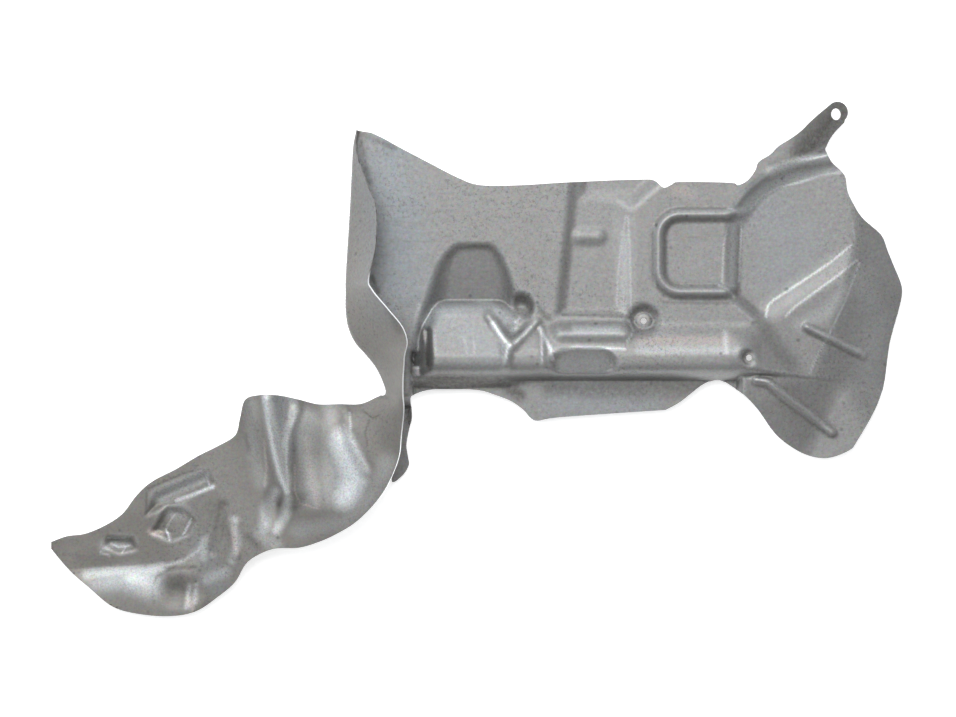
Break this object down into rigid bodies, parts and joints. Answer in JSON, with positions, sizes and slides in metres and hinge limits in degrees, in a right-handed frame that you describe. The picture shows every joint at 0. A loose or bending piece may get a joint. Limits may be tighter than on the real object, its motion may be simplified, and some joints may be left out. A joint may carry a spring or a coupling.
{
  "type": "steering gear heat shield",
  "caption": "Pressed sheet metal heat shield with a half tube for the steering rack, raised ribs, a tall folded side wall and a fixing ear.",
  "frame": {"origin": "centre of the fixing hole in the ear, at mid-thickness of the sheet", "axes": "+X along the panel from the side wall towards the ear, +Y across the panel from the half tube towards the plain top edge, +Z out of the pressed side"},
  "size_m": [0.5126, 0.3095, 0.0599],
  "materials": {
    "sheet": "satin rolled sheet, dull and stained with use"
  },
  "bodies": {
    "root": {"heat_shield": "sheet"}
  },
  "joints": []
}
